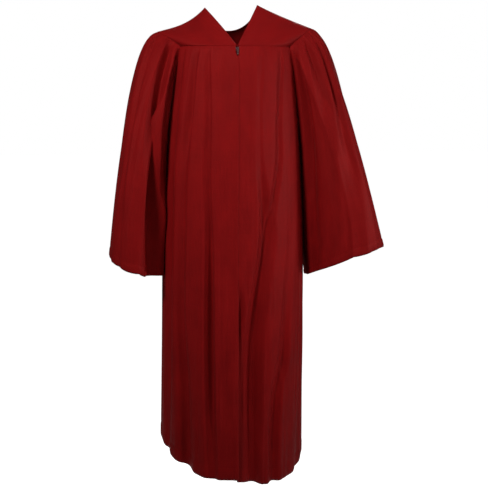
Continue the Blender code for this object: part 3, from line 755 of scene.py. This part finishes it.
def unfolded_sleeve(sleeve, share, down):
    start = np.array([armhole(sleeve.side, s) for s in share])
    end = cuff_line(sleeve, share)
    pull = np.stack(
        [
            sleeve.side * curve(LEAVES, "share", "out", share) * sleeve.puff,
            -curve(LEAVES, "share", "forward", share),
            -curve(LEAVES, "share", "down", share),
        ],
        -1,
    )
    drop = np.linalg.norm(end - start, axis=1, keepdims=True)
    outward = np.maximum(np.cos(2 * np.pi * share), 0) ** 2
    fall = np.stack([sleeve.side * sleeve.flare * outward, 0 * share, -np.ones_like(share)], -1) * drop
    inward = np.array([-sleeve.side * 0.6, 0, -0.8]) * 0.0009
    start = start - pull / np.linalg.norm(pull, axis=1, keepdims=True) * ARMHOLE_TUCK + inward
    line = hermite(start[None], pull[None], end[None], fall[None], down[:, None, None])
    inner = np.maximum(-np.cos(2 * np.pi * share), 0)
    line[..., 0] -= sleeve.side * sleeve.lean * inner * 4 * (down * (1 - down))[:, None]
    return line


def rest_on_body(points, clear):
    """Moves points that lie inside the body, or nearer to it than clear, straight out to that distance."""
    half, front, back, shift, _, power = (curve(BODY, "height", c, points[..., 2]) for c in Section._fields[1:])
    x, y = points[..., 0] - shift, points[..., 1]
    level = ((np.abs(x) / half) ** power + (np.abs(y) / np.where(y < 0, front, back)) ** power) ** (1 / power)
    push = np.maximum((1 + clear / half) / level, 1)
    return np.stack([x * push + shift, y * push, points[..., 2]], -1)


def gathers(share, down, seed):
    """Short folds round the sleeve head, fading down the sleeve."""
    at_head = np.exp(-((np.minimum(share, 1 - share)) / 0.24) ** 4)
    fade = smooth_step(0.0, 0.03, down) * np.exp(-down / 0.10)
    wave = np.sin(2 * np.pi * (share * 46 + 1.3 * soft_noise(share * 20 + 3, down * 4 + 8, seed)))
    height = 0.6 + 0.4 * soft_noise(share * 30 + 9, down * 5 + 4, seed + 1)
    return 0.0042 * at_head * fade * height * (0.5 - 0.5 * wave)


def sleeve_rows(sleeve):
    share = np.linspace(0, 1, SLEEVE_COLUMNS + 1)[:-1]
    down = np.linspace(0, 1, SLEEVE_ROWS)
    base = unfolded_sleeve(sleeve, share, down)
    round_it = np.roll(base, -1, 1) - np.roll(base, 1, 1)
    normal = np.cross(round_it, np.gradient(base, axis=0)) * sleeve.side
    normal /= np.linalg.norm(normal, axis=2, keepdims=True)
    s, d = np.broadcast_arrays(share[None, :], down[:, None])
    depth = np.zeros(s.shape)
    for turn in (-1, 0, 1):
        depth += trough(sleeve.folds, s + turn, d, "down", "share", "to_under", "to_outer")
    depth *= smooth_step(0.0, 0.11, d)
    depth += gathers(s, d, sleeve.seed)
    angle = 2 * np.pi * s
    u, v = 6 + 4.5 * np.cos(angle), 9 + 4.5 * np.sin(angle)
    depth += (soft_noise(u, v + d * 1.5, sleeve.seed + 5) + 0.6) * 0.0030 * smooth_step(0.1, 0.6, d)
    depth += (soft_noise(u * 2.4, v * 2.4 + d * 5, sleeve.seed + 6) + 0.5) * 0.0010 * smooth_step(0.05, 0.4, d)
    above_cuff = (1 - d) * SLEEVE_LENGTH
    depth -= 0.0009 * (1 - smooth_step(CUFF_HEM - 0.003, CUFF_HEM, above_cuff))
    depth += 0.0010 * np.exp(-((above_cuff - CUFF_HEM) / DENT_REACH) ** 2)
    depth += 0.0016 * np.exp(-(above_cuff / DENT_REACH) ** 2)
    folded = base - normal * depth[..., None]
    resting = rest_on_body(folded, 0.0025)
    return between(folded, resting, smooth_step(0.04, 0.12, d)[..., None])


sleeves = {}
for sleeve in SLEEVES:
    grids[sleeve.name] = sleeve_rows(sleeve)
    sleeves[sleeve.name] = cloth_sheet(
        sleeve.name + "_cloth", grids[sleeve.name], closed=True, flip=sleeve.side > 0
    )

# %% [markdown]
# ## The gown's cloth
#
# The cloth is a plain-woven polyester with a soft dull shine. One shader group makes its weave, its uneven yarn
# and the slight clouding of the dye, and every cloth material uses it with its own colours.


# %% Weave group
YARN = 0.0009  # one wave of the weave


def new_group(name, inputs, outputs):
    tree = bpy.data.node_groups.new(name, "ShaderNodeTree")
    for label, kind, value in inputs:
        socket = tree.interface.new_socket(label, in_out="INPUT", socket_type=kind)
        socket.default_value = value
    for label, kind in outputs:
        tree.interface.new_socket(label, in_out="OUTPUT", socket_type=kind)
    return tree, tree.nodes.new("NodeGroupInput"), tree.nodes.new("NodeGroupOutput")


def add(tree, kind, **values):
    node = tree.nodes.new("ShaderNode" + kind)
    for key, value in values.items():
        setattr(node, key, value)
    return node


def set_inputs(node, values):
    for label, value in values.items():
        node.inputs[label].default_value = value


def new_material(name):
    """A material, its node tree and its shader."""
    material = bpy.data.materials.new(name)
    material.use_nodes = True
    return material, material.node_tree, material.node_tree.nodes["Principled BSDF"]


def math_node(tree, operation, first, second=None):
    node = add(tree, "Math", operation=operation)
    for socket, value in zip(node.inputs, (first, second)):
        if isinstance(value, (int, float)):
            socket.default_value = value
        elif value is not None:
            tree.links.new(value, socket)
    return node.outputs[0]


def noise_at(tree, place, size, detail):
    """Noise whose features are size metres, given as (across, along)."""
    mapping = add(tree, "Mapping")
    mapping.inputs["Scale"].default_value = (1 / size[0], 1 / size[1], 1)
    tree.links.new(place, mapping.inputs["Vector"])
    noise = add(tree, "TexNoise")
    set_inputs(noise, {"Scale": 1.0, "Detail": detail})
    tree.links.new(mapping.outputs["Vector"], noise.inputs["Vector"])
    return noise.outputs["Fac"]


def weave_group():
    tree, given, gives = new_group(
        "woven cloth",
        [("Colour", "NodeSocketColor", (0.2, 0.01, 0.01, 1)), ("Shade", "NodeSocketColor", (0.1, 0.005, 0.005, 1))],
        [("Colour", "NodeSocketColor"), ("Roughness", "NodeSocketFloat"), ("Height", "NodeSocketFloat")],
    )
    place = add(tree, "UVMap", uv_map="cloth").outputs["UV"]
    clouds = noise_at(tree, place, (0.05, 0.09), 3)
    yarns = noise_at(tree, place, (0.0016, 0.05), 2)
    picks = noise_at(tree, place, (0.06, 0.0018), 2)

    def times(first, second):
        return math_node(tree, "MULTIPLY", first, second)

    def plus(first, second):
        return math_node(tree, "ADD", first, second)

    mix = plus(plus(times(clouds, 0.7), times(yarns, 0.45)), times(picks, 0.35))
    spread = add(tree, "MapRange")
    set_inputs(spread, {"From Min": 0.52, "From Max": 0.98})
    tree.links.new(mix, spread.inputs["Value"])
    colours = add(tree, "Mix", data_type="RGBA")
    tree.links.new(spread.outputs["Result"], colours.inputs[0])
    tree.links.new(given.outputs["Shade"], colours.inputs[6])
    tree.links.new(given.outputs["Colour"], colours.inputs[7])
    tree.links.new(colours.outputs[2], gives.inputs["Colour"])
    tree.links.new(plus(0.50, times(clouds, 0.16)), gives.inputs["Roughness"])
    split = add(tree, "SeparateXYZ")
    tree.links.new(place, split.inputs[0])
    warp, weft = (math_node(tree, "SINE", times(split.outputs[axis], 2 * math.pi / YARN)) for axis in "XY")
    tree.links.new(plus(times(times(warp, weft), 0.25), times(mix, 0.9)), gives.inputs["Height"])
    return tree


WEAVE = weave_group()

# %% [markdown]
# ## Cloth materials
#
# The shine of woven polyester is broad and weak, with a little sheen where the nap is seen edge on. Those are
# constant over the cloth, so they are set on the shader itself.

# %% Cloth material
SHEEN_TINT = (1.0, 0.10, 0.09, 1.0)
SHINE_TINT = (1.0, 0.16, 0.14, 1.0)


def cloth_material(name, colour, shade, sheen=0.12):
    material, tree, shader = new_material(name)
    group = add(tree, "Group", node_tree=WEAVE)
    set_inputs(group, {"Colour": (*colour, 1), "Shade": (*shade, 1)})
    bump = add(tree, "Bump")
    set_inputs(bump, {"Strength": 0.35, "Distance": 0.0004})
    tree.links.new(group.outputs["Colour"], shader.inputs["Base Color"])
    tree.links.new(group.outputs["Roughness"], shader.inputs["Roughness"])
    tree.links.new(group.outputs["Height"], bump.inputs["Height"])
    tree.links.new(bump.outputs["Normal"], shader.inputs["Normal"])
    set_inputs(shader, {"Specular IOR Level": 0.22, "Specular Tint": SHINE_TINT})
    set_inputs(shader, {"Sheen Weight": sheen, "Sheen Roughness": 0.45, "Sheen Tint": SHEEN_TINT})
    return material


maroon = cloth_material("maroon cloth", (0.25, 0.0055, 0.0060), (0.18, 0.0042, 0.0048))
for piece in [*panels.values(), *yokes.values(), *sleeves.values()]:
    piece.data.materials.append(maroon)
    give_thickness(piece)

# %% [markdown]
# ## Repeating a small shape along a line
#
# Stitches and zip teeth are both small shapes set along a line at an even pitch. One Geometry Nodes tree makes
# both: it divides a guide line at the pitch, sets a small rounded shape at every point, turns it to the line and
# to the cloth, and lets each one vary a little in size. The result is turned into a plain mesh.

# %% Tree that repeats a shape
REPEAT_INPUTS = [
    ("Line", "NodeSocketGeometry", None),
    ("Pitch", "NodeSocketFloat", 0.0035),
    ("Size", "NodeSocketVector", (0.003, 0.001, 0.001)),
    ("Unevenness", "NodeSocketFloat", 0.1),
    ("Seed", "NodeSocketInt", 1),
    ("Material", "NodeSocketMaterial", None),
]


def repeat_tree():
    tree = bpy.data.node_groups.new("repeat along a line", "GeometryNodeTree")
    for label, kind, value in REPEAT_INPUTS:
        socket = tree.interface.new_socket(label, in_out="INPUT", socket_type=kind)
        if value is not None:
            socket.default_value = value
    tree.interface.new_socket("Pieces", in_out="OUTPUT", socket_type="NodeSocketGeometry")
    given, gives = tree.nodes.new("NodeGroupInput"), tree.nodes.new("NodeGroupOutput")

    def step(kind, settings=(), **inputs):
        node = tree.nodes.new(kind)
        for key, value in settings:
            setattr(node, key, value)
        for label, value in inputs.items():
            socket = node.inputs[label]
            if isinstance(value, bpy.types.NodeSocket):
                tree.links.new(value, socket)
            else:
                socket.default_value = value
        return node

    curve_line = step("GeometryNodeMeshToCurve", Mesh=given.outputs["Line"])
    divided = step(
        "GeometryNodeResampleCurve", [("mode", "LENGTH")],
        Curve=curve_line.outputs[0], Length=given.outputs["Pitch"],
    )
    tangent = step("GeometryNodeInputTangent")
    outward = step("GeometryNodeInputNamedAttribute", [("data_type", "FLOAT_VECTOR")], Name="outward")
    along = step("FunctionNodeAlignRotationToVector", [("axis", "X")], Vector=tangent.outputs[0])
    turned = step(
        "FunctionNodeAlignRotationToVector", [("axis", "Z"), ("pivot_axis", "X")],
        Rotation=along.outputs[0], Vector=outward.outputs[0],
    )
    ball = step("GeometryNodeMeshIcoSphere", Radius=0.5, Subdivisions=1)
    vary = step("FunctionNodeRandomValue", [("data_type", "FLOAT_VECTOR")], Seed=given.outputs["Seed"])
    less = step("ShaderNodeMath", [("operation", "SUBTRACT")])
    less.inputs[0].default_value = 1.0
    tree.links.new(given.outputs["Unevenness"], less.inputs[1])
    tree.links.new(less.outputs[0], vary.inputs[0])
    vary.inputs[1].default_value = (1, 1, 1)
    size = step("ShaderNodeVectorMath", [("operation", "MULTIPLY")])
    tree.links.new(vary.outputs[0], size.inputs[0])
    tree.links.new(given.outputs["Size"], size.inputs[1])
    placed = step(
        "GeometryNodeInstanceOnPoints", Points=divided.outputs[0], Instance=ball.outputs[0],
        Rotation=turned.outputs[0], Scale=size.outputs[0],
    )
    real = step("GeometryNodeRealizeInstances", Geometry=placed.outputs[0])
    named = step("GeometryNodeSetMaterial", Geometry=real.outputs[0], Material=given.outputs["Material"])
    tree.links.new(named.outputs[0], gives.inputs[0])
    return tree


REPEAT = repeat_tree()


def repeat_along(name, lines, pitch, size, unevenness, seed, material):
    """A mesh of small shapes along lines. Each line is an array of points and an array of outward directions."""
    points = np.concatenate([line[0] for line in lines])
    outward = np.concatenate([line[1] for line in lines])
    starts = np.concatenate([[0], np.cumsum([len(line[0]) for line in lines])])
    edges = [(i, i + 1) for low, high in zip(starts[:-1], starts[1:]) for i in range(low, high - 1)]
    guide_mesh = bpy.data.meshes.new(name + "_guide")
    guide_mesh.from_pydata(points.tolist(), edges, [])
    guide_mesh.attributes.new("outward", "FLOAT_VECTOR", "POINT").data.foreach_set("vector", outward.ravel())
    guide = show(name + "_guide", guide_mesh)
    modifier = guide.modifiers.new("repeat", "NODES")
    modifier.node_group = REPEAT
    values = {"Pitch": pitch, "Size": size, "Unevenness": unevenness, "Seed": seed, "Material": material}
    for item in REPEAT.interface.items_tree:
        if item.in_out == "INPUT" and item.name in values:
            modifier[item.identifier] = values[item.name]
    graph = bpy.context.evaluated_depsgraph_get()
    mesh = bpy.data.meshes.new_from_object(guide.evaluated_get(graph))
    bpy.data.objects.remove(guide)
    mesh.shade_smooth()
    piece = show(name, mesh)
    print(name, len(mesh.polygons), "faces")
    return piece


# %% [markdown]
# ## Stitches
#
# The hem, the cuffs, the yoke seams, the neck and both front edges are sewn down with a plain lock stitch a few
# millimetres long. The thread is a little lighter than the cloth. Each line of stitches lies a fixed distance in
# from an edge of its piece.


# %% Stitch lines
STITCH_PITCH = 0.0036
STITCH_SIZE = (0.0029, 0.0006, 0.0005)
THREAD_LIFT = 0.0001
EDGE_STITCH = 0.0045  # in from an open edge
SEAM_STITCH = 0.0020  # in from a seam


def length_from(grid, axis, from_end):
    """The distance of every point of a grid from one of its edges, measured along the cloth."""
    step = np.linalg.norm(np.diff(grid, axis=axis), axis=2)
    pad = [(1, 0), (0, 0)] if axis == 0 else [(0, 0), (1, 0)]
    length = np.pad(step.cumsum(axis), pad)
    return np.take(length, [-1], axis) - length if from_end else length


def line_in(grid, distance, axis, inset, outward_hint):
    """The line of points of a grid that are inset from an edge, with the cloth's outward direction at each."""
    normal = np.cross(np.gradient(grid, axis=0), np.gradient(grid, axis=1))
    normal /= np.maximum(np.linalg.norm(normal, axis=2, keepdims=True), 1e-9)
    normal *= np.sign((normal * outward_hint(grid)).sum(2, keepdims=True))
    if axis == 1:
        grid, normal, distance = grid.transpose(1, 0, 2), normal.transpose(1, 0, 2), distance.T
    at = np.arange(len(grid))
    points, turned = [], []
    for column in range(grid.shape[1]):
        order = np.argsort(distance[:, column])
        row = np.interp(inset, distance[order, column], at[order])
        points.append([np.interp(row, at, grid[:, column, k]) for k in range(3)])
        turned.append([np.interp(row, at, normal[:, column, k]) for k in range(3)])
    points, turned = np.array(points), np.array(turned)
    return points + turned * THREAD_LIFT, turned


def from_middle(grid):
    """Rough outward directions for a piece that goes round the body."""
    return grid * [1, 1, 0] + [0, 0, 0.01]


def from_arm(grid):
    """Rough outward directions for a sleeve, from the middle of each of its levels."""
    return grid - grid.mean(axis=1, keepdims=True)


def stitched(name, lines):
    return repeat_along(name + "_stitches", lines, STITCH_PITCH, STITCH_SIZE, 0.12, 5, thread)


thread = cloth_material("maroon thread", (0.30, 0.0085, 0.0090), (0.22, 0.0060, 0.0065))
stitches = {}
for name, panel in PANELS.items():
    grid = grids[name]
    lines = [line_in(grid, length_from(grid, 0, True), 0, HEM_DEPTH, from_middle)]
    if name != "back":
        lines.append(line_in(grid, length_from(grid, 1, panel.end == 0), 1, EDGE_STITCH, from_middle))
    stitches[name] = stitched(name, lines)
for name in YOKES:
    grid = grids[name]
    lines = [line_in(grid, length_from(grid, 0, True), 0, SEAM_STITCH, from_middle)]
    if name == "yoke_back":
        lines.append(line_in(grid, length_from(grid, 0, False), 0, EDGE_STITCH, from_middle))
    else:
        lines.append(line_in(grid, length_from(grid, 1, False), 1, EDGE_STITCH, from_middle))
    stitches[name] = stitched(name, lines)
for name in sleeves:
    grid = grids[name]
    lines = [line_in(grid, length_from(grid, 0, True), 0, CUFF_HEM, from_arm)]
    stitches[name] = stitched(name, lines)

# %% [markdown]
# ## The zip's tapes and teeth
#
# The zip is sewn behind the two front edges and stays closed. Each tape is a narrow woven strip, and between them
# two rows of nylon teeth grip each other turn about, from the slider down to the stop.

# %% Tapes and teeth
ZIP_BEHIND = 0.0050  # from the body's surface back to the front of the tapes
TAPE_WIDTH = 0.013
TAPE_THICKNESS = 0.0009
TEETH_HALF = 0.0022
TAPE_START = TEETH_HALF + 0.0004
TOOTH_PITCH = 0.0022
TOOTH_SIZE = (0.0012, 0.0026, 0.0013)
TAPE_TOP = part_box("zip_tape_left")[1][2]
TEETH_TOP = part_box("zip_coil")[1][2] - 0.001
TEETH_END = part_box("zip_coil")[0][2] + 0.001


def zip_line(height, across):
    """Points on the zip's front face, across metres from its middle."""
    points = body_ring(0, height)[0]
    points[..., 0] += across
    points[..., 1] += ZIP_BEHIND
    return points


def tape_rows(side):
    heights = np.linspace(TAPE_TOP, ZIP_END, 90)[:, None]
    across = side * np.linspace(TAPE_START, TAPE_START + TAPE_WIDTH, 5)[None, :]
    heights, across = np.broadcast_arrays(heights, across)
    return zip_line(heights, across)


def teeth_line(side):
    start = TEETH_TOP - (0.5 * TOOTH_PITCH if side > 0 else 0)
    heights = np.arange(start, TEETH_END, -0.5 * TOOTH_PITCH)
    points = zip_line(heights, side * TEETH_HALF * 0.42) + [0, 0.0007, 0]
    return points, np.broadcast_to([0.0, -1.0, 0.0], points.shape)


tape_cloth = cloth_material("woven zip tape", (0.20, 0.0050, 0.0055), (0.13, 0.0035, 0.0040), sheen=0.05)
nylon = cloth_material("nylon teeth", (0.16, 0.0060, 0.0065), (0.12, 0.0045, 0.0050), sheen=0.0)
tapes = {}
for name, side in (("zip_tape_right", -1), ("zip_tape_left", 1)):
    tapes[name] = cloth_sheet(name + "_cloth", tape_rows(side), flip=side < 0)
    tapes[name].data.materials.append(tape_cloth)
    give_thickness(tapes[name], TAPE_THICKNESS)
teeth = repeat_along(
    "zip_teeth_rows", [teeth_line(-1), teeth_line(1)], TOOTH_PITCH, TOOTH_SIZE, 0.0, 1, nylon
)

# %% [markdown]
# ## The metal of the zip
#
# The slider and its pull are enamelled in the colour of the cloth, worn a little brighter in small uneven spots.


# %% Metal material
def metal_material(name, colour, worn):
    material, tree, shader = new_material(name)
    place = add(tree, "TexCoord").outputs["Object"]
    noise = add(tree, "TexNoise")
    set_inputs(noise, {"Scale": 900, "Detail": 3})
    tree.links.new(place, noise.inputs["Vector"])
    ramp = add(tree, "ValToRGB")
    ramp.color_ramp.elements[0].position = 0.45
    ramp.color_ramp.elements[0].color = (*colour, 1)
    ramp.color_ramp.elements[1].position = 0.75
    ramp.color_ramp.elements[1].color = (*worn, 1)
    tree.links.new(noise.outputs["Fac"], ramp.inputs["Fac"])
    tree.links.new(ramp.outputs["Color"], shader.inputs["Base Color"])
    set_inputs(shader, {"Metallic": 0.3, "Roughness": 0.35})
    return material


enamel = metal_material("dark enamel", (0.040, 0.0030, 0.0035), (0.12, 0.016, 0.016))
for name in ("zip_slider", "zip_pull", "zip_stop"):
    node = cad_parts[name]
    for slot in node.material_slots:
        slot.material = enamel

# %% [markdown]
# ## Camera, light and floor
#
# The main lamp stands in front of the gown, above its shoulders and to the wearer's right. Three weaker lamps fill
# from the sides and one reaches the shoulders, so the light falls off towards the hem and the folds keep their
# shade. A last lamp behind the gown lights its back. The floor and the air round it are white to the camera.

# %% Camera
AIM = Vector((0, 0, -0.69))
camera = show("camera", bpy.data.cameras.new("camera"))
turn, tilt, distance = math.radians(-6), math.radians(11), 2.5
away = Vector((math.sin(turn) * math.cos(tilt), -math.cos(turn) * math.cos(tilt), math.sin(tilt)))
camera.location = AIM + away * distance
camera.rotation_euler = (-away).to_track_quat("-Z", "Y").to_euler()
camera.data.sensor_width = 36
camera.data.lens = 62.4
camera.data.shift_x = 0.0266
camera.data.shift_y = 0.002
camera.data.clip_start = 0.05
bpy.context.scene.camera = camera
bpy.context.scene.view_settings.view_transform = "Standard"


# %% Light
def area_light(name, place, aim, size, power, spread):
    lamp = bpy.data.lights.new(name, "AREA")
    lamp.shape = "RECTANGLE"
    lamp.size, lamp.size_y = size
    lamp.energy = power
    lamp.spread = math.radians(spread)
    obj = show(name, lamp)
    obj.location = place
    obj.rotation_euler = (Vector(aim) - Vector(place)).to_track_quat("-Z", "Y").to_euler()


area_light("key", (-1.75, -2.50, 1.45), (0, 0, -0.45), (0.5, 0.5), 4.3, 42)
area_light("left", (-3.10, -1.80, -0.15), (0, 0, -0.45), (0.5, 0.5), 0.45, 42)
area_light("right", (3.30, -1.35, -0.15), (0, 0, -0.45), (0.5, 0.5), 2.7, 42)
area_light("low right", (2.05, -2.30, 0.25), (0.1, 0, -0.85), (0.5, 0.5), 0.8, 34)
area_light("shoulders", (0.45, -1.60, 1.60), (0.03, 0, 0.02), (0.4, 0.4), 0.28, 20)
area_light("back", (0.9, 3.2, 1.1), (0, 0, -0.55), (1.2, 1.2), 10.0, 50)
world = bpy.data.worlds.new("studio")
bpy.context.scene.world = world
world.use_nodes = True
tree = world.node_tree
background = tree.nodes["Background"]
seen = tree.nodes.new("ShaderNodeLightPath")
strength = tree.nodes.new("ShaderNodeMapRange")
set_inputs(strength, {"To Min": 0.025, "To Max": 1.0})
tree.links.new(seen.outputs["Is Camera Ray"], strength.inputs["Value"])
tree.links.new(strength.outputs["Result"], background.inputs["Strength"])
set_inputs(background, {"Color": (1, 1, 1, 1)})


# %% Floor
def pale_floor():
    low, half = LOWEST - 0.24, 14.0
    mesh = bpy.data.meshes.new("floor")
    corners = [(-half, -half, low), (half, -half, low), (half, half, low), (-half, half, low)]
    mesh.from_pydata(corners, [], [(0, 1, 2, 3)])
    material, tree, shader = new_material("pale paper")
    white, pale = (1, 1, 1, 1), (0.9, 0.9, 0.9, 1)
    set_inputs(shader, {"Base Color": pale, "Roughness": 0.9, "Specular IOR Level": 0.0, "Emission Color": white})
    path = tree.nodes.new("ShaderNodeLightPath")
    tree.links.new(path.outputs["Is Camera Ray"], shader.inputs["Emission Strength"])
    mesh.materials.append(material)
    return show("floor", mesh)


pale_floor()

# %% [markdown]
# ## Telling the frame what stands for what
#
# Every piece rides on the gown's body and hides the solid that it stands for.

# %% Declarations
GOWN = "gown"
for name, piece in {**panels, **yokes, **sleeves}.items():
    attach(piece, GOWN)
    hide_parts(name)
    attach(stitches[name], GOWN)
for name, piece in tapes.items():
    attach(piece, GOWN)
    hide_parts(name)
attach(teeth, GOWN)
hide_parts("zip_coil")
